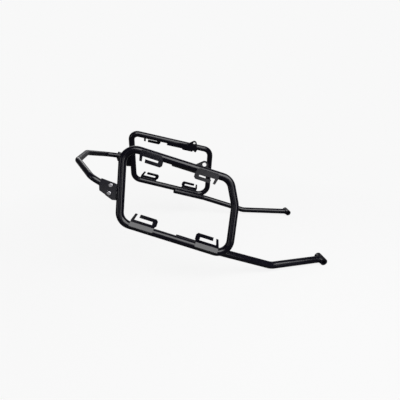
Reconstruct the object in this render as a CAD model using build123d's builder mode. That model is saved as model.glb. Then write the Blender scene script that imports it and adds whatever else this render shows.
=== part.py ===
"""Pannier frame for a motorbike: two leaning hoops with luggage hooks, two front struts, a rear crossbar.

Millimetres. X points forward along the bike, Y to its left, Z up; the origin is the middle of the part.
"""
from dataclasses import dataclass
import math
import os

from build123d import *

os.makedirs("parts", exist_ok=True)

RIGHT = -1
LEFT = 1
SIDE_NAME = {RIGHT: "right", LEFT: "left"}

# Hoop tube and the planes of the two hoops
TUBE_R = 11.0
TUBE_WALL = 2.0
BEND_R = 36.0
LEFT_TOP_BEND_R = 22.0
KNEE_R = 70.0
HOOP_SPREAD = 437.0
HOOP_FORWARD = -110.0
HOOP_UP = 45.0
LEAN = math.radians(17.0)
TOE = math.radians(4.5)

# Corners of each hoop's centre line in its own plane, as (along, up)
REAR_TOP = {RIGHT: (-143.0, 154.5), LEFT: (-151.0, 149.0)}
REAR_LOW = {RIGHT: (-159.5, -53.5), LEFT: (-154.0, -52.5)}
FRONT_LOW = {RIGHT: (140.0, -155.5), LEFT: (161.0, -167.0)}
FRONT_TOP = {RIGHT: (147.0, 59.0), LEFT: (158.5, 62.5)}
RIGHT_KNEE = (160.0, -15.0)

# Front struts, welded side by side with the bottom tubes; places are from the middle of the hoops
WELD_GAP = 0.2
STRUT_INWARD = 2 * TUBE_R + WELD_GAP
STRUT_START = 160.0
LEFT_STRUT_START = 174.0
STRUT_LEAVES = 16.0
STRUT_BEND_R = 60.0
BEND_AHEAD = 281.0
LEFT_BEND_AHEAD = 314.0
BEND_OUT = 230.0
BEND_DROP = 218.0
LEFT_BEND_DROP = 216.5
BUSH_AHEAD = 460.0
LEFT_BUSH_AHEAD = 508.0
BUSH_OUT = 200.0
BUSH_DROP = 226.0
LEFT_BUSH_DROP = 222.0
BUSH_R = 11.5
BUSH_BORE_R = 5.25
BUSH_LENGTH = 40.0
STRUT_FROM = {RIGHT: STRUT_START, LEFT: LEFT_STRUT_START}
STRUT_BEND = {
    RIGHT: (HOOP_FORWARD + BEND_AHEAD, BEND_OUT, HOOP_UP - BEND_DROP),
    LEFT: (HOOP_FORWARD + LEFT_BEND_AHEAD, BEND_OUT, HOOP_UP - LEFT_BEND_DROP),
}
BUSH_CENTRE = {
    RIGHT: (HOOP_FORWARD + BUSH_AHEAD, BUSH_OUT, HOOP_UP - BUSH_DROP),
    LEFT: (HOOP_FORWARD + LEFT_BUSH_AHEAD, BUSH_OUT, HOOP_UP - LEFT_BUSH_DROP),
}

# Luggage hooks: plates on the outer side of the top and bottom tubes, the bottom ones with a bent foot
HOOK_THICK = 4.0
HOOK_OUTWARD = TUBE_R
HOOK_LEG = 13.0
HOOK_POST = 6.5
HOOK_ROOT = 2.0
HOOK_CHAMFER = 5.0
HOOK_HEEL = 5.0
HOOK_TIP_DROP = 1.0
HOOK_FOOT_TILT = math.radians(25.0)
HOOK_FOOT_BELOW = 6.5
HOOK_FOOT_ABOVE = 7.4
HOOK_FOLD = 2.0
HOOK_SPANS = {
    RIGHT: {
        "top_rear": (51.0, 117.0),
        "top_front": (272.5, 207.0),
        "bottom_rear": (29.5, 101.0),
        "bottom_front": (281.0, 211.0),
    },
    LEFT: {
        "top_rear": (51.0, 118.0),
        "top_front": (272.5, 207.0),
        "bottom_rear": (25.5, 97.0),
        "bottom_front": (280.0, 205.0),
    },
}


@dataclass(frozen=True)
class HookSize:
    """One hook's heights above its tube's centre line, and where its post tip and arm end stand along it."""

    base: float
    floor: float
    roof: float
    edge: float
    tip: float
    arm_end: float


FOOT_TOP = TUBE_R * math.sin(HOOK_FOOT_TILT) + HOOK_FOOT_ABOVE * math.cos(HOOK_FOOT_TILT)
FOOT_INNER = TUBE_R * math.cos(HOOK_FOOT_TILT) - HOOK_FOOT_ABOVE * math.sin(HOOK_FOOT_TILT)
BENT_OUTWARD = FOOT_INNER + HOOK_THICK / 2
TOP_HOOK = HookSize(base=-1.0, floor=13.2, roof=18.7, edge=28.5, tip=4.0, arm_end=18.0)
BOTTOM_HOOK = HookSize(base=FOOT_TOP + HOOK_FOLD, floor=19.5, roof=28.5, edge=38.0, tip=7.0, arm_end=20.5)

# Upper brackets with an eye, on the inner side of the top tubes
BRACKET_THICK = 5.0
BRACKET_INWARD = TUBE_R + 0.5
BRACKET_START = 140.0
BRACKET_LOW = 13.5
RIGHT_EYE_ALONG = 225.5
LEFT_EYE_ALONG = 243.0
EYE_ALONG = {RIGHT: RIGHT_EYE_ALONG, LEFT: LEFT_EYE_ALONG}
EYE_RISE = 17.5
EYE_R = 10.5
EYE_BORE_R = 5.5
EYE_RAMP = 26.0
BRACKET_TOE = 6.0
BRACKET_FOOT = 9.0
BRACKET_NOSE = 8.0

# Rear joint: gusset on the hoop, flange lapped on the crossbar, two bolts through both
PLATE_THICK = 5.0
FLANGE_INWARD = PLATE_THICK
GUSSET = ((-148.0, 44.0), (-191.0, 61.0), (-196.0, 45.0), (-195.0, 20.5), (-177.0, 6.7), (-148.0, 3.5))
FLANGE = {
    RIGHT: ((-204.5, 66.4), (-170.0, 52.8), (-170.0, 26.0), (-186.0, 13.6), (-211.7, 33.5), (-212.0, 48.0)),
    LEFT: ((-204.5, 73.0), (-170.0, 58.0), (-170.0, 28.0), (-186.0, 16.5), (-211.5, 35.5), (-215.0, 56.0)),
}
BOLT_SPOTS = ((-178.5, 46.5), (-184.0, 25.0))
BOLT_R = 3.0
BOLT_HOLE_R = 3.3
HEX_ACROSS = 10.0
HEAD_HIGH = 4.0
NUT_HIGH = 5.0
TIP_OUT = 2.5
STACK = 2 * PLATE_THICK

# Rear crossbar; places are from the middle of the hoops
CROSS_R = 9.0
CROSS_BEND_R = 26.0
CROSS_INWARD = FLANGE_INWARD + PLATE_THICK / 2 + CROSS_R + WELD_GAP
CROSS_HALF = 60.0
CROSS_BEHIND = 289.5
CROSS_RISE = 89.5
KNEE_OUT = 168.0
KNEE_BEHIND = 231.5
LEFT_KNEE_BEHIND = 245.0
KNEE_RISE = 64.0
LEFT_KNEE_RISE = 62.5
CROSS_TIP = (HOOP_FORWARD - CROSS_BEHIND, CROSS_HALF, HOOP_UP + CROSS_RISE)
CROSS_KNEE = {
    RIGHT: (HOOP_FORWARD - KNEE_BEHIND, KNEE_OUT, HOOP_UP + KNEE_RISE),
    LEFT: (HOOP_FORWARD - LEFT_KNEE_BEHIND, KNEE_OUT, HOOP_UP + LEFT_KNEE_RISE),
}
CROSS_END = {RIGHT: (-197.0, 45.5), LEFT: (-197.0, 62.0)}


def frame_plane(side, inward=0.0):
    """Plane of one hoop, moved inward from the tube's centre line; x runs forward, y up the hoop."""
    along = Vector(math.cos(TOE), side * math.sin(TOE), 0)
    up = Vector(math.sin(LEAN) * math.sin(TOE), -side * math.sin(LEAN) * math.cos(TOE), math.cos(LEAN))
    inner = Vector(math.sin(TOE) * math.cos(LEAN), -side * math.cos(TOE) * math.cos(LEAN), -math.sin(LEAN))
    origin = Vector(HOOP_FORWARD, side * HOOP_SPREAD / 2, HOOP_UP) + inner * inward
    return Plane(origin=origin, x_dir=along, z_dir=along.cross(up))


def inward_plane(side, spot, inward):
    """Plane at one spot of a hoop whose normal points inward, to the middle of the bike."""
    base = frame_plane(side, inward)
    return Plane(origin=base.from_local_coords((*spot, 0)), x_dir=base.x_dir, z_dir=base.z_dir * side)


def on_tube(side, top, along, across):
    """Point beside the top or bottom tube, as along it from its rear corner and across into the window."""
    rear, front = (REAR_TOP, FRONT_TOP) if top else (REAR_LOW, FRONT_LOW)
    dx = front[side][0] - rear[side][0]
    dy = front[side][1] - rear[side][1]
    length = math.hypot(dx, dy)
    dx, dy = dx / length, dy / length
    turn = 1 if top else -1
    return rear[side][0] + along * dx + turn * across * dy, rear[side][1] + along * dy - turn * across * dx


def mirrored(side, point):
    """Point given with its distance from the middle plane, placed on one side."""
    return point[0], side * point[1], point[2]


def save(builder, name):
    """Name one node and write its file."""
    builder.part.label = name
    export_step(builder.part, f"parts/{name}.step")


def hook_outline(side, top, size, post_end, leg_end):
    """Corners of one hook plate in its hoop's plane: base, leg, arm and leaning post."""
    run = abs(leg_end - post_end)
    way = math.copysign(1.0, leg_end - post_end)
    tip_edge = size.edge - HOOK_TIP_DROP
    shape = [
        (0.0, size.base),
        (run - HOOK_HEEL, size.base),
        (run, size.floor),
        (run, size.edge - HOOK_CHAMFER),
        (run - HOOK_CHAMFER, size.edge),
        (size.arm_end + HOOK_TIP_DROP, size.edge),
        (size.arm_end, size.roof),
        (run - HOOK_LEG, size.roof),
        (run - HOOK_LEG, size.floor),
        (HOOK_POST + HOOK_ROOT, size.floor),
        (size.tip + HOOK_POST, tip_edge),
        (size.tip, tip_edge),
        (0.0, size.floor - HOOK_ROOT),
    ]
    return [on_tube(side, top, post_end + way * x, y) for x, y in shape]


def foot_plane(side, along):
    """Plane square to the bottom tube; x runs into the window, y outward on the right, inward on the left."""
    base = frame_plane(side)
    here = base.from_local_coords((*on_tube(side, False, along, 0), 0))
    across = base.from_local_coords((*on_tube(side, False, along, 1), 0)) - here
    ahead = base.from_local_coords((*on_tube(side, False, along + 1, 0), 0)) - here
    return Plane(origin=here, x_dir=across, z_dir=ahead)


def foot_section(side):
    """Section of a bent foot that lies on the tube's upper outer side and folds up into the hook's plate."""
    tilt_sin = math.sin(HOOK_FOOT_TILT)
    tilt_cos = math.cos(HOOK_FOOT_TILT)
    low_across = TUBE_R * tilt_sin - HOOK_FOOT_BELOW * tilt_cos
    low_out = TUBE_R * tilt_cos + HOOK_FOOT_BELOW * tilt_sin
    fold = FOOT_TOP + HOOK_THICK * math.tan(HOOK_FOOT_TILT / 2)
    shape = [
        (low_across, low_out),
        (FOOT_TOP, FOOT_INNER),
        (BOTTOM_HOOK.base, FOOT_INNER),
        (BOTTOM_HOOK.base, FOOT_INNER + HOOK_THICK),
        (fold, FOOT_INNER + HOOK_THICK),
        (low_across + HOOK_THICK * tilt_sin, low_out + HOOK_THICK * tilt_cos),
    ]
    return [(across, -side * out) for across, out in shape]


# Hoops
hoops = {}
for side in (RIGHT, LEFT):
    corners = [REAR_TOP[side], REAR_LOW[side], FRONT_LOW[side], FRONT_TOP[side]]
    radii = [BEND_R] * 4
    if side == LEFT:
        radii[0] = LEFT_TOP_BEND_R
    else:
        corners.insert(3, RIGHT_KNEE)
        radii.insert(3, KNEE_R)
    with BuildPart() as hoop:
        with BuildLine(frame_plane(side)) as hoop_line:
            FilletPolyline(*corners, radius=radii, close=True)
        with BuildSketch(Plane(origin=hoop_line.line @ 0, z_dir=hoop_line.line % 0)):
            Circle(TUBE_R)
        sweep(path=hoop_line.line)
    hoops[side] = hoop.part
    save(hoop, f"{SIDE_NAME[side]}_hoop")

# Front struts and their bushes
for side in (RIGHT, LEFT):
    lap = frame_plane(side, STRUT_INWARD)
    bottom_length = math.dist(REAR_LOW[side], FRONT_LOW[side])
    start = lap.from_local_coords((*on_tube(side, False, STRUT_FROM[side], 0), 0))
    leave = lap.from_local_coords((*on_tube(side, False, bottom_length - STRUT_LEAVES, 0), 0))
    bush_plane = Plane(origin=mirrored(side, BUSH_CENTRE[side]), x_dir=(1, 0, 0), z_dir=(0, 1, 0))
    with BuildPart() as bush:
        with BuildSketch(bush_plane):
            Circle(BUSH_R)
            Circle(BUSH_BORE_R, mode=Mode.SUBTRACT)
        extrude(amount=BUSH_LENGTH / 2, both=True)
    save(bush, f"{SIDE_NAME[side]}_strut_bush")
    with BuildPart() as strut:
        with BuildLine() as strut_line:
            FilletPolyline(
                start,
                leave,
                mirrored(side, STRUT_BEND[side]),
                mirrored(side, BUSH_CENTRE[side]),
                radius=STRUT_BEND_R,
            )
        with BuildSketch(Plane(origin=strut_line.line @ 0, z_dir=strut_line.line % 0)):
            Circle(TUBE_R)
            Circle(TUBE_R - TUBE_WALL, mode=Mode.SUBTRACT)
        sweep(path=strut_line.line)
        with BuildSketch(bush_plane):
            Circle(BUSH_R)
        extrude(amount=BUSH_LENGTH, both=True, mode=Mode.SUBTRACT)
    save(strut, f"{SIDE_NAME[side]}_front_strut")

# Luggage hooks
for side in (RIGHT, LEFT):
    for place, (post_end, leg_end) in HOOK_SPANS[side].items():
        top = place.startswith("top")
        size = TOP_HOOK if top else BOTTOM_HOOK
        heel = leg_end - math.copysign(HOOK_HEEL, leg_end - post_end)
        with BuildPart() as hook:
            with BuildSketch(frame_plane(side, -HOOK_OUTWARD if top else -BENT_OUTWARD)):
                with BuildLine():
                    Polyline(*hook_outline(side, top, size, post_end, leg_end), close=True)
                make_face()
            extrude(amount=HOOK_THICK / 2, both=True)
            if not top:
                with BuildSketch(foot_plane(side, min(post_end, heel))):
                    with BuildLine():
                        Polyline(*foot_section(side), close=True)
                    make_face()
                extrude(amount=abs(heel - post_end))
            add(hoops[side], mode=Mode.SUBTRACT)
        save(hook, f"{SIDE_NAME[side]}_{place}_hook")

# Upper brackets
for side in (RIGHT, LEFT):
    eye = EYE_ALONG[side]
    bracket_end = eye + EYE_R + BRACKET_TOE
    outline = [
        (BRACKET_START, BRACKET_LOW),
        (bracket_end, BRACKET_LOW),
        (bracket_end, 0.0),
        (eye + EYE_R, -EYE_RISE),
        (eye - EYE_R * 0.5, -EYE_RISE - EYE_R * math.sqrt(0.75)),
        (eye - EYE_RAMP, -BRACKET_FOOT),
        (BRACKET_START + BRACKET_NOSE, 0.0),
        (BRACKET_START, BRACKET_NOSE),
    ]
    with BuildPart() as bracket:
        with BuildSketch(frame_plane(side, BRACKET_INWARD)):
            with BuildLine():
                Polyline(*[on_tube(side, True, x, y) for x, y in outline], close=True)
            make_face()
            with Locations(on_tube(side, True, eye, -EYE_RISE)):
                Circle(EYE_R)
                Circle(EYE_BORE_R, mode=Mode.SUBTRACT)
        extrude(amount=BRACKET_THICK / 2, both=True)
        add(hoops[side], mode=Mode.SUBTRACT)
    save(bracket, f"{SIDE_NAME[side]}_top_bracket")

# Rear crossbar
ends = {}
for side in (RIGHT, LEFT):
    ends[side] = frame_plane(side, CROSS_INWARD).from_local_coords((*CROSS_END[side], 0))
with BuildPart() as crossbar:
    with BuildLine() as cross_line:
        FilletPolyline(
            ends[RIGHT],
            mirrored(RIGHT, CROSS_KNEE[RIGHT]),
            mirrored(RIGHT, CROSS_TIP),
            mirrored(LEFT, CROSS_TIP),
            mirrored(LEFT, CROSS_KNEE[LEFT]),
            ends[LEFT],
            radius=CROSS_BEND_R,
        )
    with BuildSketch(Plane(origin=cross_line.line @ 0, z_dir=cross_line.line % 0)):
        Circle(CROSS_R)
    sweep(path=cross_line.line)
save(crossbar, "rear_crossbar")

# Rear joints: gusset, flange, bolts and nuts
for side in (RIGHT, LEFT):
    plates = (
        ("rear_gusset", GUSSET, 0.0, hoops[side]),
        ("crossbar_flange", FLANGE[side], FLANGE_INWARD, crossbar.part),
    )
    for name, outline, inward, welded_to in plates:
        with BuildPart() as plate:
            with BuildSketch(frame_plane(side, inward)):
                with BuildLine():
                    Polyline(*outline, close=True)
                make_face()
                with Locations(*BOLT_SPOTS):
                    Circle(BOLT_HOLE_R, mode=Mode.SUBTRACT)
            extrude(amount=PLATE_THICK / 2, both=True)
            add(welded_to, mode=Mode.SUBTRACT)
        save(plate, f"{SIDE_NAME[side]}_{name}")

    outer_face = -PLATE_THICK / 2
    inner_face = FLANGE_INWARD + PLATE_THICK / 2
    with BuildPart() as bolts:
        for spot in BOLT_SPOTS:
            under_head = inward_plane(side, spot, outer_face)
            with BuildSketch(under_head):
                RegularPolygon(HEX_ACROSS / 2, 6, major_radius=False)
            extrude(amount=-HEAD_HIGH)
            with BuildSketch(under_head):
                Circle(BOLT_R)
            extrude(amount=STACK + NUT_HIGH + TIP_OUT)
    save(bolts, f"{SIDE_NAME[side]}_flange_bolts")

    with BuildPart() as nuts:
        for spot in BOLT_SPOTS:
            with BuildSketch(inward_plane(side, spot, inner_face)):
                RegularPolygon(HEX_ACROSS / 2, 6, major_radius=False)
                Circle(BOLT_R, mode=Mode.SUBTRACT)
            extrude(amount=NUT_HIGH)
    save(nuts, f"{SIDE_NAME[side]}_flange_nuts")
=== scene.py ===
"""Looks of a motorbike pannier frame: black powder coat, weld beads and zinc-plated fasteners."""

import logging
import math
import random
from collections.abc import Callable
from dataclasses import dataclass, field
from enum import Enum

import bmesh
import bpy
from mathutils import Matrix, Vector

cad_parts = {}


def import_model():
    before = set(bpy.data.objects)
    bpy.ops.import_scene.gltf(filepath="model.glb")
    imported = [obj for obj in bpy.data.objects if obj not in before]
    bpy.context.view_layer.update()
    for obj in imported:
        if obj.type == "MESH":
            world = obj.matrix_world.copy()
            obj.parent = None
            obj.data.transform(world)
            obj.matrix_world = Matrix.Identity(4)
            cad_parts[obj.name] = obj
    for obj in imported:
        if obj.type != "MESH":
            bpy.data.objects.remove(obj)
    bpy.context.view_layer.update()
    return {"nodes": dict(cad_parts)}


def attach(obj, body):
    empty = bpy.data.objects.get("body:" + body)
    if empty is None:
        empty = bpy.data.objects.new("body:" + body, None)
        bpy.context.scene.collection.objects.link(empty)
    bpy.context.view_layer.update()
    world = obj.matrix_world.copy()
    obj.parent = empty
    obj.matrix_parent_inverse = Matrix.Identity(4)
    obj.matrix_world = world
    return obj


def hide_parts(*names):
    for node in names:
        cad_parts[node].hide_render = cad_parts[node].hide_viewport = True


MM = 0.001
LOG = logging.getLogger("pannier_frame")

Pair = tuple[float, float]
Triple = tuple[float, float, float]
Colour = tuple[float, float, float, float]
Around = float | Callable[[float], float]  # one number, or a function of the angle round an axis


class Side(Enum):
    """The two sides of the bike; the value is the sign of Y."""

    RIGHT = -1
    LEFT = 1

    @property
    def label(self) -> str:
        """Word that starts the names of this side's nodes."""
        return self.name.lower()


class Slot(Enum):
    """Material slots of the record."""

    COAT = "black_powder_coat"
    ZINC = "zinc_plate"


class Tube(Enum):
    """The two long tubes of a hoop that carry welded plates; the value turns "across" into the window."""

    TOP = 1
    BOTTOM = -1


class NodeTree:
    """Short calls for the nodes that the finishes and the studio share."""

    def __init__(self, tree: bpy.types.NodeTree, coords: str = "Object") -> None:
        """Keep the tree's nodes and links, and the coordinates that its textures read.

        Args:
            tree: Node tree of a material or of the world.
            coords: Name of the texture coordinate.
        """
        self.nodes = tree.nodes
        self.links = tree.links
        self.coords = self.nodes.new("ShaderNodeTexCoord").outputs[coords]

    @property
    def shader(self) -> bpy.types.Node:
        """Surface shader that a new material comes with."""
        return self.nodes["Principled BSDF"]

    def link(self, output: bpy.types.NodeSocket, name: str) -> None:
        """Join an output to one of the surface shader's inputs."""
        self.links.new(output, self.shader.inputs[name])

    def noise(self, scale: float, detail: float, rough: float) -> bpy.types.NodeSocket:
        """Add a noise texture.

        Args:
            scale: Cells to the metre.
            detail: Octaves.
            rough: Weight of the finer octaves.

        Returns:
            The noise value's socket.
        """
        node = self.nodes.new("ShaderNodeTexNoise")
        node.inputs["Scale"].default_value = scale
        node.inputs["Detail"].default_value = detail
        node.inputs["Roughness"].default_value = rough
        self.links.new(self.coords, node.inputs["Vector"])
        return node.outputs["Fac"]

    def ramp(
        self,
        value: bpy.types.NodeSocket,
        places: Pair,
        colours: tuple[Colour, Colour],
    ) -> bpy.types.NodeSocket:
        """Turn a value into a colour.

        Args:
            value: Socket of the value.
            places: Where the two colours are pure.
            colours: The two colours.

        Returns:
            The colour's socket.
        """
        node = self.nodes.new("ShaderNodeValToRGB")
        for element, place, colour in zip(node.color_ramp.elements, places, colours):
            element.position = place
            element.color = colour
        self.links.new(value, node.inputs["Fac"])
        return node.outputs["Color"]

    def map_range(self, value: bpy.types.NodeSocket, old: Pair, new: Pair) -> bpy.types.NodeSocket:
        """Stretch a value from one range to another, and no further.

        Args:
            value: Socket of the value.
            old: Range before.
            new: Range after.

        Returns:
            The new value's socket.
        """
        node = self.nodes.new("ShaderNodeMapRange")
        for name, number in zip(("From Min", "From Max", "To Min", "To Max"), (*old, *new)):
            node.inputs[name].default_value = number
        self.links.new(value, node.inputs["Value"])
        return node.outputs["Result"]

    def blend(self, a: bpy.types.NodeSocket, b: bpy.types.NodeSocket, share: float) -> bpy.types.NodeSocket:
        """Mix two values.

        Args:
            a: First socket.
            b: Second socket.
            share: Share of the second.

        Returns:
            The mixed value's socket.
        """
        node = self.nodes.new("ShaderNodeMix")
        node.inputs["Factor"].default_value = share
        self.links.new(a, node.inputs["A"])
        self.links.new(b, node.inputs["B"])
        return node.outputs["Result"]

    def bump(self, height: bpy.types.NodeSocket, strength: float, depth: float) -> bpy.types.NodeSocket:
        """Turn a height into a normal.

        Args:
            height: Socket of the height.
            strength: Share of the effect.
            depth: Height of a full step in metres.

        Returns:
            The normal's socket.
        """
        node = self.nodes.new("ShaderNodeBump")
        node.inputs["Strength"].default_value = strength
        node.inputs["Distance"].default_value = depth
        self.links.new(height, node.inputs["Height"])
        return node.outputs["Normal"]

    def measure(self, work: str, other: Triple = (0.0, 0.0, 0.0)) -> bpy.types.NodeSocket:
        """Measure the coordinates.

        Args:
            work: Vector operation that gives one value.
            other: Second vector, for an operation that has one.

        Returns:
            The value's socket.
        """
        node = self.nodes.new("ShaderNodeVectorMath")
        node.operation = work
        node.inputs[1].default_value = other
        self.links.new(self.coords, node.inputs[0])
        return node.outputs["Value"]

    def combine(self, work: str, a: bpy.types.NodeSocket, b: bpy.types.NodeSocket) -> bpy.types.NodeSocket:
        """Make one value of two.

        Args:
            work: Operation on the two.
            a: First socket.
            b: Second socket.

        Returns:
            The result's socket.
        """
        node = self.nodes.new("ShaderNodeMath")
        node.operation = work
        self.links.new(a, node.inputs[0])
        self.links.new(b, node.inputs[1])
        return node.outputs["Value"]

    def plain(self, kind: str, level: float) -> bpy.types.Node:
        """Add a shader of one even grey.

        Args:
            kind: Type of the shader's node.
            level: Brightness of the grey, with 1 as white.

        Returns:
            The shader's node.
        """
        node = self.nodes.new(kind)
        node.inputs["Color"].default_value = (level, level, level, 1.0)
        return node

    def mix(
        self,
        share: bpy.types.NodeSocket,
        a: bpy.types.NodeSocket,
        b: bpy.types.NodeSocket,
    ) -> bpy.types.NodeSocket:
        """Mix two shaders.

        Args:
            share: Socket of the second one's share.
            a: First shader's socket.
            b: Second shader's socket.

        Returns:
            The mixed shader's socket.
        """
        node = self.nodes.new("ShaderNodeMixShader")
        self.links.new(share, node.inputs["Fac"])
        self.links.new(a, node.inputs[1])
        self.links.new(b, node.inputs[2])
        return node.outputs["Shader"]

    def show(self, shader: bpy.types.NodeSocket, kind: str) -> None:
        """Join a shader to a new output node of the kind."""
        self.links.new(shader, self.nodes.new(kind).inputs["Surface"])


@dataclass(frozen=True)
class PowderCoat:
    """Satin black powder coat with fine orange peel and a cloudy sheen."""

    deep: Colour = (0.0016, 0.0012, 0.0045, 1.0)
    pale: Colour = (0.0042, 0.0036, 0.0092, 1.0)
    tint_places: Pair = (0.32, 0.72)
    roughness: Pair = (0.16, 0.23)
    roughness_places: Pair = (0.3, 0.75)
    cloud_scale: float = 16.0
    peel_scale: float = 620.0
    peel_strength: float = 0.35
    peel_depth: float = 0.00006
    grain_scale: float = 2600.0
    grain_share: float = 0.3
    specular: float = 0.5

    def material(self, name: str) -> bpy.types.Material:
        """Make the node material.

        Args:
            name: Name of the new material.

        Returns:
            The material.
        """
        mat = bpy.data.materials.new(name)
        mat.use_nodes = True
        tree = NodeTree(mat.node_tree)
        cloud = tree.noise(self.cloud_scale, detail=5.0, rough=0.6)
        peel = tree.noise(self.peel_scale, detail=2.0, rough=0.5)
        grain = tree.noise(self.grain_scale, detail=1.0, rough=0.5)
        height = tree.blend(peel, grain, self.grain_share)
        tree.link(tree.ramp(cloud, self.tint_places, (self.deep, self.pale)), "Base Color")
        tree.link(tree.map_range(cloud, self.roughness_places, self.roughness), "Roughness")
        tree.link(tree.bump(height, self.peel_strength, self.peel_depth), "Normal")
        tree.shader.inputs["Specular IOR Level"].default_value = self.specular
        return mat


@dataclass(frozen=True)
class ZincPlate:
    """Bright zinc plate with faint streaks and a cloudy grey bloom."""

    bright: Colour = (0.66, 0.65, 0.68, 1.0)
    bloom: Colour = (0.44, 0.43, 0.46, 1.0)
    tint_places: Pair = (0.35, 0.78)
    roughness: Pair = (0.32, 0.50)
    roughness_places: Pair = (0.3, 0.8)
    bloom_scale: float = 140.0
    streak_scale: float = 1500.0
    streak_strength: float = 0.12
    streak_depth: float = 0.00008

    def material(self, name: str) -> bpy.types.Material:
        """Make the node material.

        Args:
            name: Name of the new material.

        Returns:
            The material.
        """
        mat = bpy.data.materials.new(name)
        mat.use_nodes = True
        tree = NodeTree(mat.node_tree)
        cloud = tree.noise(self.bloom_scale, detail=6.0, rough=0.65)
        streak = tree.noise(self.streak_scale, detail=2.0, rough=0.5)
        tree.link(tree.ramp(cloud, self.tint_places, (self.bright, self.bloom)), "Base Color")
        tree.link(tree.map_range(cloud, self.roughness_places, self.roughness), "Roughness")
        tree.link(tree.bump(streak, self.streak_strength, self.streak_depth), "Normal")
        tree.shader.inputs["Metallic"].default_value = 1.0
        return mat


@dataclass
class Hoop:
    """Plane and corners of one leaning hoop, in millimetres, as the solids have them.

    A corner is where two centre lines would meet, along and up the hoop's plane.
    """

    side: Side
    tube_r: float = 11.0
    spread: float = 437.0  # from one plane's origin to the other's
    forward: float = -110.0  # place of the plane's origin
    up: float = 45.0
    lean: float = math.radians(17.0)
    toe: float = math.radians(4.5)
    rear_top: Pair = field(init=False)
    rear_low: Pair = field(init=False)
    front_low: Pair = field(init=False)
    front_top: Pair = field(init=False)

    def __post_init__(self) -> None:
        """Take this side's corners."""
        right = self.side is Side.RIGHT
        self.rear_top = (-143.0, 154.5) if right else (-151.0, 149.0)
        self.rear_low = (-159.5, -53.5) if right else (-154.0, -52.5)
        self.front_low = (140.0, -155.5) if right else (161.0, -167.0)
        self.front_top = (147.0, 59.0) if right else (158.5, 62.5)

    def axes(self) -> tuple[Vector, Vector, Vector]:
        """Directions along the hoop, up it and inward from it.

        Returns:
            The three unit vectors.
        """
        s = self.side.value
        sin_lean, cos_lean = math.sin(self.lean), math.cos(self.lean)
        sin_toe, cos_toe = math.sin(self.toe), math.cos(self.toe)
        along = Vector((cos_toe, s * sin_toe, 0))
        up = Vector((sin_lean * sin_toe, -s * sin_lean * cos_toe, cos_lean))
        inward = Vector((sin_toe * cos_lean, -s * cos_toe * cos_lean, -sin_lean))
        return along, up, inward

    def point(self, along: float, up: float, inward: float) -> Vector:
        """Place of a point of the hoop's plane, or beside it.

        Args:
            along: Millimetres forward in the plane.
            up: Millimetres up the plane.
            inward: Millimetres inward from it.

        Returns:
            The point in metres.
        """
        a, u, n = self.axes()
        origin = Vector((self.forward, self.side.value * self.spread / 2, self.up))
        return (origin + a * along + u * up + n * inward) * MM

    def ends(self, tube: Tube) -> tuple[Pair, Pair]:
        """Rear and front corner of a long tube."""
        return (self.rear_top, self.front_top) if tube is Tube.TOP else (self.rear_low, self.front_low)

    def length(self, tube: Tube) -> float:
        """Corner-to-corner length of a long tube in millimetres."""
        return math.dist(*self.ends(tube))

    def beside(self, tube: Tube, along: float, across: float, inward: float) -> Vector:
        """Place of a point beside a long tube.

        Args:
            tube: Which tube.
            along: Millimetres from its rear corner.
            across: Millimetres from its centre line into the window.
            inward: Millimetres inward from the hoop's plane.

        Returns:
            The point in metres.
        """
        rear, front = (Vector(end) for end in self.ends(tube))
        way = (front - rear).normalized()
        into = Vector((way.y, -way.x)) * tube.value
        spot = rear + way * along + into * across
        return self.point(spot.x, spot.y, inward)


class Piece:
    """Skins meshes and turns them into named pieces that ride on the frame."""

    @staticmethod
    def skin(bm: bmesh.types.BMesh, rings: list[list[bmesh.types.BMVert]], closed: bool) -> None:
        """Join a row of rings with four-sided faces.

        Args:
            bm: Mesh that holds the rings.
            rings: The rings in order, all with the same number of points.
            closed: True joins the last ring to the first, else both ends are capped.
        """
        pairs = list(zip(rings, rings[1:]))
        if closed:
            pairs.append((rings[-1], rings[0]))
        n = len(rings[0])
        for one, two in pairs:
            # Rings may start at other angles, so each point is joined to the one nearest to it.
            gaps = [(vert.co - one[0].co).length for vert in two]
            shift = gaps.index(min(gaps))
            for k in range(n):
                m = (k + 1) % n
                bm.faces.new((one[k], one[m], two[(m + shift) % n], two[(k + shift) % n]))
        if not closed:
            bm.faces.new(list(reversed(rings[0])))
            bm.faces.new(rings[-1])

    @staticmethod
    def make(
        name: str,
        bm: bmesh.types.BMesh,
        mat: bpy.types.Material,
        slot: Slot,
        smooth: float = 40.0,
    ) -> bpy.types.Object:
        """Make the object, dress it and let it ride.

        Args:
            name: Name of the piece.
            bm: Its mesh, freed here.
            mat: Its material.
            slot: The record's slot; not used.
            smooth: Edges flatter than this many degrees are shaded smooth.

        Returns:
            The new object.
        """
        bmesh.ops.recalc_face_normals(bm, faces=bm.faces)
        mesh = bpy.data.meshes.new(name)
        bm.to_mesh(mesh)
        bm.free()
        mesh.materials.append(mat)
        mesh.shade_smooth()
        mesh.set_sharp_from_angle(angle=math.radians(smooth))
        obj = bpy.data.objects.new(name, mesh)
        bpy.context.scene.collection.objects.link(obj)
        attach(obj, "root")
        LOG.info("%s: %d faces", name, len(mesh.polygons))
        return obj


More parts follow.
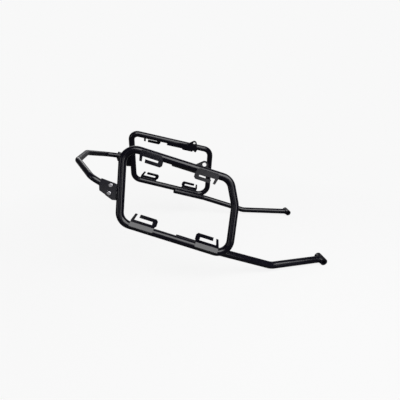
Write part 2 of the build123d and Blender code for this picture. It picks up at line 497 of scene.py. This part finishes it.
@dataclass
class WeldBead:
    """One run of weld, laid in ripples along a path in metres; its own sizes are in millimetres."""

    path: list[Vector]
    radius: float = 1.9
    ripple: float = 2.6  # from one crest to the next
    swell: float = 0.16  # share by which a crest stands out and a trough falls back
    uneven: float = 0.03  # share by which a point may be off
    end_size: float = 0.35  # share of the size at the end of a run
    end_growth: float = 0.2  # share that each point after it adds
    step: float = 0.65  # from one point to the next
    segments: int = 10
    closed: bool = False

    def samples(self) -> list[Vector]:
        """Points at even steps along the path.

        Returns:
            The points in metres.
        """
        stops = self.path + self.path[:1] if self.closed else self.path
        found = []
        for a, b in zip(stops, stops[1:]):
            count = max(1, round((b - a).length / (self.step * MM)))
            found += [a.lerp(b, i / count) for i in range(count)]
        return found if self.closed else found + [stops[-1]]

    def thickness(self, i: int, last: int, dice: random.Random) -> float:
        """Radius of the bead at one of its points.

        Args:
            i: Number of the point.
            last: Number of the last point.
            dice: Source of the small unevenness.

        Returns:
            The radius in millimetres.
        """
        phase = (i * self.step / self.ripple) % 1.0
        crest = 1 - self.swell + 2 * self.swell * math.sqrt(1 - phase)
        size = self.radius * crest * dice.uniform(1 - self.uneven, 1 + self.uneven)
        if self.closed:
            return size
        return size * min(1.0, self.end_size + self.end_growth * min(i, last - i))

    def add_to(self, bm: bmesh.types.BMesh, dice: random.Random) -> None:
        """Build the bead.

        Args:
            bm: Mesh that takes it.
            dice: Source of its small unevenness.
        """
        points = self.samples()
        last = len(points) - 1
        rings = []
        for i, p in enumerate(points):
            before = points[i - 1] if i or self.closed else p
            after = points[(i + 1) % len(points)] if i < last or self.closed else p
            way = (after - before).normalized()
            side = way.orthogonal().normalized()
            other = way.cross(side)
            size = self.thickness(i, last, dice)
            ring = []
            for k in range(self.segments):
                turn = 2 * math.pi * k / self.segments
                ring.append(bm.verts.new(p + (side * math.cos(turn) + other * math.sin(turn)) * size * MM))
            rings.append(ring)
        Piece.skin(bm, rings, self.closed)


@dataclass
class HookWelds:
    """Weld runs that hold the luggage hooks of one hoop."""

    hoop: Hoop
    top_base: float = -1.0  # upper edge of a top hook's plate, across
    plate_inner: float = 9.0  # inner face of that plate, outward
    edge_gap: float = 0.9  # upper run, off that edge
    tube_out: float = 0.5  # upper run, off the tube
    corner_out: float = 0.7  # lower run, off the corner of plate and tube
    plate_out: float = 0.6  # lower run, off the plate
    foot_low: Pair = (-1.9, -11.9)  # run below a bottom hook's foot, across and inward
    foot_high: Pair = (9.2, -6.9)  # run behind that foot
    heel: float = 5.0
    end_gap: float = 3.0  # bare stretch at each end of a run
    bead: float = 1.7
    spans: tuple[tuple[str, float, float], ...] = field(init=False)

    def __post_init__(self) -> None:
        """Take this side's hooks: place, post end and leg end along the tube."""
        right = self.hoop.side is Side.RIGHT
        self.spans = (
            ("top_rear", 51.0, 117.0 if right else 118.0),
            ("top_front", 272.5, 207.0),
            ("bottom_rear", 29.5, 101.0) if right else ("bottom_rear", 25.5, 97.0),
            ("bottom_front", 281.0, 211.0) if right else ("bottom_front", 280.0, 205.0),
        )

    def seats(self, tube: Tube) -> tuple[Pair, Pair]:
        """Where the two runs lie beside a tube.

        Args:
            tube: Which tube.

        Returns:
            Two pairs of millimetres across into the window and inward.
        """
        if tube is Tube.BOTTOM:
            return self.foot_low, self.foot_high
        r = self.hoop.tube_r
        edge = self.top_base - self.edge_gap
        on_tube = -math.sqrt(r * r - edge * edge) - self.tube_out
        corner = math.sqrt(r * r - self.plate_inner ** 2) + self.corner_out
        return (edge, on_tube), (corner, self.plate_out - self.plate_inner)

    def build(self, mat: bpy.types.Material) -> None:
        """Lay two runs on each hook.

        Args:
            mat: Finish of the beads.
        """
        for place, start, end in self.spans:
            tube = Tube.TOP if place.startswith("top") else Tube.BOTTOM
            way = math.copysign(1.0, end - start)
            reach = (start + self.end_gap * way, end - (self.heel + self.end_gap) * way)
            bm = bmesh.new()
            dice = random.Random(place + self.hoop.side.label)
            for across, inward in self.seats(tube):
                path = [self.hoop.beside(tube, x, across, inward) for x in reach]
                WeldBead(path, radius=self.bead).add_to(bm, dice)
            Piece.make(f"{self.hoop.side.label}_{place}_hook_weld", bm, mat, Slot.COAT)


@dataclass
class BracketWelds:
    """Weld runs that hold the eyed bracket of one hoop."""

    hoop: Hoop
    plate_outer: float = 9.0  # outer face of the bracket's plate, inward
    corner_out: float = 0.7  # runs, off the corner of plate and tube
    plate_out: float = 0.6  # runs, off the plate
    start: float = 146.0
    upper_run: float = 42.0
    bead: float = 1.9
    end: float = field(init=False)

    def __post_init__(self) -> None:
        """Take this side's bracket end."""
        self.end = 238.5 if self.hoop.side is Side.RIGHT else 256.0

    def build(self, mat: bpy.types.Material) -> None:
        """Lay one run on each side of the tube, the one above it shorter.

        Args:
            mat: Finish of the beads.
        """
        corner = math.sqrt(self.hoop.tube_r ** 2 - self.plate_outer ** 2) + self.corner_out
        inward = self.plate_outer - self.plate_out
        bm = bmesh.new()
        dice = random.Random(self.hoop.side.label)
        for across, first in ((corner, self.start), (-corner, self.end - self.upper_run)):
            path = [self.hoop.beside(Tube.TOP, x, across, inward) for x in (first, self.end)]
            WeldBead(path, radius=self.bead).add_to(bm, dice)
        Piece.make(f"{self.hoop.side.label}_bracket_weld", bm, mat, Slot.COAT)


@dataclass
class StrutWelds:
    """Stitch welds along a strut's lap and the ring at its bush."""

    hoop: Hoop
    lap_inward: float = 11.1  # where the strut touches the bottom tube, inward
    lap_short: float = 46.0  # end of the last stitch, behind the front corner
    groove: float = 5.6  # runs, off the touching line
    stitch: float = 36.0
    stitches: int = 3
    stitch_bead: float = 2.4
    stitch_ripple: float = 3.2
    bend_out: float = 230.0  # bend, off the bike's middle plane
    bush_out: float = 200.0  # bush, off that plane
    bush_r: float = 11.5
    ring_out: float = 0.3  # ring, off the strut and the bush
    ring_points: int = 48
    ring_bead: float = 1.5
    ring_step: float = 1.0
    start: float = field(init=False)
    bend: Vector = field(init=False)
    bush: Vector = field(init=False)

    def __post_init__(self) -> None:
        """Take this side's lap start, bend and bush."""
        right = self.hoop.side is Side.RIGHT
        bend_y, bush_y = self.hoop.side.value * self.bend_out, self.hoop.side.value * self.bush_out
        self.start = 166.0 if right else 180.0
        self.bend = Vector((171.0, bend_y, -173.0) if right else (204.0, bend_y, -171.5))
        self.bush = Vector((350.0, bush_y, -181.0) if right else (398.0, bush_y, -177.0))

    def ring(self) -> list[Vector]:
        """Line where the strut's tube meets the round bush.

        Returns:
            The line's points in metres.
        """
        way = (self.bush - self.bend).normalized()
        side = way.cross(Vector((0, 1, 0))).normalized()
        other = way.cross(side)
        slope = Vector((way.x, way.z))
        found = []
        for k in range(self.ring_points):
            turn = 2 * math.pi * k / self.ring_points
            rim = (side * math.cos(turn) + other * math.sin(turn)) * (self.hoop.tube_r + self.ring_out)
            flat = Vector((rim.x, rim.z))
            # Seen along the bush, a line of the tube's skin leaves a circle: solve for how far back.
            a, b = slope.dot(slope), -2 * flat.dot(slope)
            c = flat.dot(flat) - (self.bush_r + self.ring_out) ** 2
            back = (-b + math.sqrt(max(0.0, b * b - 4 * a * c))) / (2 * a)
            found.append((self.bush + rim - way * back) * MM)
        return found

    def build(self, mat: bpy.types.Material) -> None:
        """Lay the stitches and the ring.

        Args:
            mat: Finish of the beads.
        """
        finish = self.hoop.length(Tube.BOTTOM) - self.lap_short
        gap = (finish - self.start - self.stitches * self.stitch) / (self.stitches - 1)
        bm = bmesh.new()
        dice = random.Random(self.hoop.side.label)
        for across in (self.groove, -self.groove):
            for k in range(self.stitches):
                first = self.start + k * (self.stitch + gap)
                reach = (first, first + self.stitch)
                path = [self.hoop.beside(Tube.BOTTOM, x, across, self.lap_inward) for x in reach]
                WeldBead(path, radius=self.stitch_bead, ripple=self.stitch_ripple).add_to(bm, dice)
        Piece.make(f"{self.hoop.side.label}_strut_lap_weld", bm, mat, Slot.COAT)
        bm = bmesh.new()
        WeldBead(self.ring(), radius=self.ring_bead, closed=True, step=self.ring_step).add_to(bm, dice)
        Piece.make(f"{self.hoop.side.label}_bush_weld", bm, mat, Slot.COAT)


@dataclass
class RearJoint:
    """Where the two plates of a rear joint lie: the gusset in the hoop's plane, the flange inward of it."""

    hoop: Hoop
    plate: float = 5.0

    @property
    def gusset_outer(self) -> float:
        """Inward place of the gusset's outer face, which carries the bolts' heads."""
        return -self.plate / 2

    @property
    def flange_inner(self) -> float:
        """Inward place of the flange's inner face, which carries the nuts and the crossbar."""
        return self.plate * 1.5

    @property
    def stack(self) -> float:
        """Thickness of the two plates together."""
        return 2 * self.plate


@dataclass
class JointWelds:
    """Weld runs that hold a rear joint's plates to the hoop and to the crossbar."""

    joint: RearJoint
    gusset_heights: Pair = (9.0, 46.5)  # ends of the runs, up the hoop's plane
    gusset_out: float = 0.5  # runs, off the tube
    gusset_face: float = 0.4  # runs, off the gusset's faces
    gusset_bead: float = 1.8
    cross_r: float = 9.0
    knee_out: float = 168.0  # crossbar's knee, off the bike's middle plane
    lap_half: float = 4.9  # run, off the crossbar's centre line
    lap_run: float = 11.0  # run, back along the crossbar
    lap_past: float = 0.6  # run, past the crossbar's end
    lap_bead: float = 1.8
    cross_end: Pair = field(init=False)
    cross_knee: Vector = field(init=False)

    def __post_init__(self) -> None:
        """Take this side's crossbar end and knee."""
        right = self.joint.hoop.side is Side.RIGHT
        y = self.joint.hoop.side.value * self.knee_out
        self.cross_end = (-197.0, 45.5) if right else (-197.0, 62.0)
        self.cross_knee = Vector((-341.5, y, 109.0) if right else (-355.0, y, 107.5)) * MM

    def build(self, mat: bpy.types.Material) -> None:
        """Lay the gusset's runs and the flange's run in one finish."""
        self.gusset(mat)
        self.flange(mat)

    def gusset(self, mat: bpy.types.Material) -> None:
        """Lay runs on both faces of the gusset, along the hoop's rear tube.

        Args:
            mat: Finish of the beads.
        """
        hoop = self.joint.hoop
        top, low = Vector(hoop.rear_top), Vector(hoop.rear_low)
        way = (top - low).normalized()
        back = Vector((-way.y, way.x))
        half = self.joint.plate / 2
        reach = math.sqrt(hoop.tube_r ** 2 - half * half) + self.gusset_out
        bm = bmesh.new()
        dice = random.Random(hoop.side.label)
        for inward in (-half - self.gusset_face, half + self.gusset_face):
            path = []
            for height in self.gusset_heights:
                spot = low + way * ((height - low.y) / way.y) + back * reach
                path.append(hoop.point(spot.x, spot.y, inward))
            WeldBead(path, radius=self.gusset_bead).add_to(bm, dice)
        Piece.make(f"{hoop.side.label}_gusset_weld", bm, mat, Slot.COAT)

    def flange(self, mat: bpy.types.Material) -> None:
        """Lay one run round the crossbar's end where it laps the flange.

        Args:
            mat: Finish of the bead.
        """
        hoop = self.joint.hoop
        face = self.joint.flange_inner
        n = hoop.axes()[2]
        way = (hoop.point(*self.cross_end, face + self.cross_r) - self.cross_knee).normalized()
        way = (way - n * way.dot(n)).normalized()
        side = n.cross(way)
        seat = hoop.point(*self.cross_end, face + self.lap_bead / 2)
        stops = ((-self.lap_run, 1), (self.lap_past, 1), (self.lap_past, -1), (-self.lap_run, -1))
        path = [seat + (way * x + side * (y * self.lap_half)) * MM for x, y in stops]
        bm = bmesh.new()
        WeldBead(path, radius=self.lap_bead).add_to(bm, random.Random(hoop.side.label))
        Piece.make(f"{hoop.side.label}_flange_weld", bm, mat, Slot.COAT)


@dataclass
class JointFasteners:
    """Hexagon bolts and nuts of a rear joint, each lathed about an axis that points inward."""

    joint: RearJoint
    spots: tuple[Pair, ...] = ((-178.5, 46.5), (-184.0, 25.0))
    bolt_r: float = 3.0
    hex_across: float = 10.0
    head_high: float = 4.0
    head_crown: float = 4.7  # radius of the head's flat face
    head_slope: float = math.radians(28.0)
    dish: Pair = (0.55, 0.62)  # floor and rim of the dish in that face, as shares of its radius
    dish_deep: float = 0.25
    under_edge: float = 0.25
    nut_high: float = 5.0
    nut_crown: float = 4.75
    nut_slope: float = math.radians(30.0)
    nut_mouth: float = 0.6
    tip_out: float = 2.5
    tip_chamfer: float = 0.7
    pitch: float = 1.0
    thread_hidden: float = 1.0  # thread inside the nut
    thread_deep: float = 0.5  # share of the pitch
    thread_shape: float = 1.2  # 1 gives straight flanks
    turn_steps: int = 8  # rings to a turn of the thread
    facets: int = 72
    crease: float = 30.0

    def build(self, mat: bpy.types.Material) -> None:
        """Make the bolts and the nuts in one finish."""
        self.bolts(mat)
        self.nuts(mat)

    def hexagon(self, turn: float) -> float:
        """Distance from the axis to the hexagon's side at an angle."""
        return self.hex_across / 2 / math.cos((turn + math.pi / 6) % (math.pi / 3) - math.pi / 6)

    def thread(self, turn: float, height: float) -> float:
        """Radius of the cut thread at an angle and a height along the bolt."""
        phase = (height / self.pitch - turn / (2 * math.pi)) % 1.0
        return self.bolt_r - self.thread_deep * self.pitch * abs(2 * phase - 1) ** self.thread_shape

    def place(self, spot: Pair, inward: float) -> Matrix:
        """Matrix that sets a fastener on the joint.

        Args:
            spot: Place of the bolt in the hoop's plane.
            inward: Millimetres inward from that plane.

        Returns:
            The matrix, from millimetres to metres.
        """
        a, _, n = self.joint.hoop.axes()
        turn = Matrix((a, n.cross(a), n)).transposed().to_4x4()
        return Matrix.Translation(self.joint.hoop.point(*spot, inward)) @ turn @ Matrix.Scale(MM, 4)

    def lathe(
        self,
        bm: bmesh.types.BMesh,
        profile: list[tuple[Around, Around]],
        where: Matrix,
        closed: bool = False,
    ) -> None:
        """Skin a stack of rings about an axis.

        Args:
            bm: Mesh that takes the skin.
            profile: Radius and height of each ring.
            where: Matrix of the fastener.
            closed: True joins the last ring to the first, else both ends are capped.
        """
        rings = []
        for radius, height in profile:
            ring = []
            for k in range(self.facets):
                turn = 2 * math.pi * k / self.facets
                r = radius(turn) if callable(radius) else radius
                z = height(turn) if callable(height) else height
                ring.append(bm.verts.new(where @ Vector((r * math.cos(turn), r * math.sin(turn), z))))
            rings.append(ring)
        Piece.skin(bm, rings, closed)

    def bolts(self, mat: bpy.types.Material) -> None:
        """Make bolts with a dished, chamfered head and a cut thread at the tip.

        Args:
            mat: Their finish.
        """
        crown, top = self.head_crown, -self.head_high
        slope = math.tan(self.head_slope)
        thread_from = self.joint.stack + self.nut_high - self.thread_hidden
        tip = self.joint.stack + self.nut_high + self.tip_out
        profile = [
            (crown * self.dish[0], top + self.dish_deep),
            (crown * self.dish[1], top),
            (crown, top),
            (self.hexagon, lambda t: top + (self.hexagon(t) - crown) * slope),
            (self.hexagon, -self.under_edge),
            (lambda t: self.hexagon(t) - self.under_edge, 0.0),
            (self.bolt_r, 0.0),
            (self.bolt_r, thread_from),
        ]
        step = self.pitch / self.turn_steps
        for i in range(round((tip - self.tip_chamfer - thread_from) / step)):
            z = thread_from + (i + 1) * step
            profile.append((lambda t, z=z: self.thread(t, z), z))
        profile.append((self.bolt_r - self.tip_chamfer, tip))
        bm = bmesh.new()
        for spot in self.spots:
            self.lathe(bm, profile, self.place(spot, self.joint.gusset_outer))
        side = self.joint.hoop.side.label
        obj = Piece.make(f"{side}_hex_bolts", bm, mat, Slot.ZINC, self.crease)
        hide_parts(f"{side}_flange_bolts")

    def nuts(self, mat: bpy.types.Material) -> None:
        """Make nuts that are chamfered on both faces.

        Args:
            mat: Their finish.
        """
        crown, high = self.nut_crown, self.nut_high
        slope = math.tan(self.nut_slope)
        profile = [
            (self.bolt_r, self.nut_mouth),
            (self.bolt_r + self.nut_mouth, 0.0),
            (crown, 0.0),
            (self.hexagon, lambda t: (self.hexagon(t) - crown) * slope),
            (self.hexagon, lambda t: high - (self.hexagon(t) - crown) * slope),
            (crown, high),
            (self.bolt_r + self.nut_mouth, high),
            (self.bolt_r, high - self.nut_mouth),
        ]
        bm = bmesh.new()
        for spot in self.spots:
            self.lathe(bm, profile, self.place(spot, self.joint.flange_inner), closed=True)
        side = self.joint.hoop.side.label
        obj = Piece.make(f"{side}_hex_nuts", bm, mat, Slot.ZINC, self.crease)
        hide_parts(f"{side}_flange_nuts")


@dataclass
class FrameLooks:
    """Dresses the solids that show as they are."""

    nodes: dict[str, bpy.types.Object]
    plate_words: tuple[str, ...] = ("hook", "bracket", "gusset", "flange")
    fastener_words: tuple[str, ...] = ("bolts", "nuts")
    edge: float = 0.55
    edge_segments: int = 2
    edge_angle: float = math.radians(50.0)

    def dress(self, coat: bpy.types.Material, zinc: bpy.types.Material) -> None:
        """Give every node its finish, and the cut plates a broken edge.

        Args:
            coat: Finish of the frame.
            zinc: Finish of the fasteners.
        """
        for name, obj in sorted(self.nodes.items()):
            fastener = name.endswith(self.fastener_words)
            obj.data.materials.clear()
            obj.data.materials.append(zinc if fastener else coat)
            if not fastener and any(word in name for word in self.plate_words):
                self.break_edges(obj)
            LOG.info("%s dressed", name)

    def break_edges(self, obj: bpy.types.Object) -> None:
        """Round a plate's sharp edges a little.

        Args:
            obj: The plate.
        """
        bevel = obj.modifiers.new("broken_edge", "BEVEL")
        bevel.width = self.edge * MM
        bevel.segments = self.edge_segments
        bevel.limit_method = "ANGLE"
        bevel.angle_limit = self.edge_angle
        bevel.harden_normals = True


@dataclass(frozen=True)
class Softbox:
    """One soft light, placed by its angles in degrees as seen from the frame's middle; sizes in metres."""

    name: str
    azimuth: float
    elevation: float
    away: float
    size: Pair
    power: float

    def place(self) -> Vector:
        """Where the light hangs; azimuth 0 is straight off the bike's right side, growing to the front."""
        a, e = math.radians(self.azimuth), math.radians(self.elevation)
        return Vector((math.sin(a) * math.cos(e), -math.cos(a) * math.cos(e), math.sin(e))) * self.away

    def hang(self) -> None:
        """Make the light, turned to the frame's middle."""
        data = bpy.data.lights.new(self.name, "AREA")
        data.shape = "RECTANGLE"
        data.size, data.size_y = self.size
        data.energy = self.power
        obj = bpy.data.objects.new(self.name, data)
        obj.location = self.place()
        obj.rotation_euler = (-self.place()).to_track_quat("-Z", "Y").to_euler()
        bpy.context.scene.collection.objects.link(obj)
        LOG.info("%s hung", self.name)


@dataclass
class Studio:
    """Pale floor, soft lights and the camera at the photograph's angle, in metres."""

    camera_at: Triple = (-0.1451, -0.9960, 0.3274)
    azimuth: float = math.radians(-7.19)
    elevation: float = math.radians(19.744)
    lens: float = 27.0
    sensor: float = 36.0
    clip: float = 200.0
    floor_z: float = -0.194
    floor_size: float = 60.0
    white: float = 0.939  # level of the ground as it is seen
    near_glow: float = 0.968  # level of the floor near the frame, before the shade
    matt: float = 0.9  # grey of the surface that takes the shade
    shade: float = 0.11  # share of that surface near the frame
    shade_reach: Pair = (0.45, 1.1)  # where the shade starts to fade and is gone
    bounced: float = 0.1  # grey of the floor to light that bounces
    dim: float = 0.04  # level of the room
    mirrored_share: float = 0.22  # share of the white that gloss mirrors from behind the frame
    backdrop: Triple = (0.13, 0.99, 0.0)  # direction of the backdrop
    sky_behind: Pair = (0.5, 1.0)  # where along it the mirrored white starts and is full
    floor_behind: Pair = (0.2, 1.0)  # the same on the floor
    lights: tuple[Softbox, ...] = (
        Softbox("main_box", azimuth=22.0, elevation=49.0, away=2.2, size=(2.6, 1.4), power=51.0),
        Softbox("front_box", azimuth=30.0, elevation=13.0, away=2.2, size=(0.6, 1.2), power=5.5),
        Softbox("rear_box", azimuth=-62.0, elevation=13.0, away=2.2, size=(0.5, 1.2), power=2.4),
        Softbox("joint_box", azimuth=-24.0, elevation=13.0, away=2.4, size=(0.5, 0.4), power=0.55),
        Softbox("hook_box", azimuth=1.0, elevation=18.0, away=2.4, size=(0.5, 0.4), power=0.8),
        Softbox("back_box", azimuth=190.0, elevation=30.0, away=2.4, size=(2.2, 0.6), power=9.0),
    )

    def camera(self) -> None:
        """Set the camera where the photograph was taken from."""
        data = bpy.data.cameras.new("camera")
        data.lens = self.lens
        data.sensor_width = self.sensor
        data.clip_end = self.clip
        obj = bpy.data.objects.new("camera", data)
        a, e = self.azimuth, self.elevation
        look = Vector((-math.sin(a) * math.cos(e), math.cos(a) * math.cos(e), -math.sin(e)))
        obj.location = self.camera_at
        obj.rotation_euler = look.to_track_quat("-Z", "Y").to_euler()
        bpy.context.scene.collection.objects.link(obj)
        bpy.context.scene.camera = obj

    def floor(self) -> None:
        """Lay a wide pale floor that keeps the frame's soft shadow."""
        bm = bmesh.new()
        bmesh.ops.create_grid(bm, x_segments=1, y_segments=1, size=self.floor_size)
        mesh = bpy.data.meshes.new("floor")
        bm.to_mesh(mesh)
        bm.free()
        obj = bpy.data.objects.new("floor", mesh)
        obj.location.z = self.floor_z
        bpy.context.scene.collection.objects.link(obj)
        mesh.materials.append(self.floor_material())

    def floor_material(self) -> bpy.types.Material:
        """White where it is seen, with a share of real shade near the frame; grey to the light that bounces.

        Returns:
            The floor's material.
        """
        mat = bpy.data.materials.new("floor")
        mat.use_nodes = True
        mat.node_tree.nodes.clear()
        tree = NodeTree(mat.node_tree)
        away = tree.measure("LENGTH")
        glow = tree.plain("ShaderNodeEmission", 1.0)
        strength = tree.map_range(away, self.shade_reach, (self.near_glow, self.white))
        tree.links.new(strength, glow.inputs["Strength"])
        matt = tree.plain("ShaderNodeBsdfDiffuse", self.matt)
        shade = tree.map_range(away, self.shade_reach, (self.shade, 0.0))
        shown = tree.mix(shade, glow.outputs[0], matt.outputs[0])
        bounce = tree.plain("ShaderNodeBsdfDiffuse", self.bounced)
        both = tree.mix(self.seen(tree, self.floor_behind), bounce.outputs[0], shown)
        tree.show(both, "ShaderNodeOutputMaterial")
        return mat

    def sky(self) -> None:
        """White backdrop behind the frame, a dim room round it."""
        world = bpy.data.worlds.new("studio")
        world.use_nodes = True
        world.node_tree.nodes.clear()
        tree = NodeTree(world.node_tree, "Generated")
        room = tree.plain("ShaderNodeBackground", self.dim)
        shown = tree.plain("ShaderNodeBackground", self.white)
        both = tree.mix(self.seen(tree, self.sky_behind), room.outputs[0], shown.outputs[0])
        tree.show(both, "ShaderNodeOutputWorld")
        bpy.context.scene.world = world

    def seen(self, tree: NodeTree, behind: Pair) -> bpy.types.NodeSocket:
        """Share of the white that a ray meets: all of it straight or through glass, some of it mirrored.

        Args:
            tree: Tree of the floor or the world; its coordinates say where a ray ends, or which way it goes.
            behind: Where along the backdrop's direction the mirrored white starts and is full.

        Returns:
            The share's socket.
        """
        level = tree.map_range(tree.measure("DOT_PRODUCT", self.backdrop), behind, (0.0, self.mirrored_share))
        ray = tree.nodes.new("ShaderNodeLightPath").outputs
        mirrored = tree.combine("MULTIPLY", level, ray["Is Glossy Ray"])
        direct = tree.combine("MAXIMUM", ray["Is Camera Ray"], ray["Is Transmission Ray"])
        return tree.combine("MAXIMUM", direct, mirrored)

    def build(self) -> None:
        """Set camera, floor, sky and lights."""
        bpy.context.scene.view_settings.view_transform = "Standard"
        self.camera()
        self.floor()
        self.sky()
        for light in self.lights:
            light.hang()


def main() -> None:
    """Load the frame, dress it, add the beads and fasteners, and light it."""
    logging.basicConfig(level=logging.INFO, format="%(message)s")
    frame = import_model()
    coat = PowderCoat().material(Slot.COAT.value)
    zinc = ZincPlate().material(Slot.ZINC.value)
    FrameLooks(frame["nodes"]).dress(coat, zinc)
    for side in Side:
        hoop = Hoop(side)
        joint = RearJoint(hoop)
        HookWelds(hoop).build(coat)
        BracketWelds(hoop).build(coat)
        StrutWelds(hoop).build(coat)
        JointWelds(joint).build(coat)
        JointFasteners(joint).build(zinc)
    Studio().build()


if __name__ == "__main__":
    main()
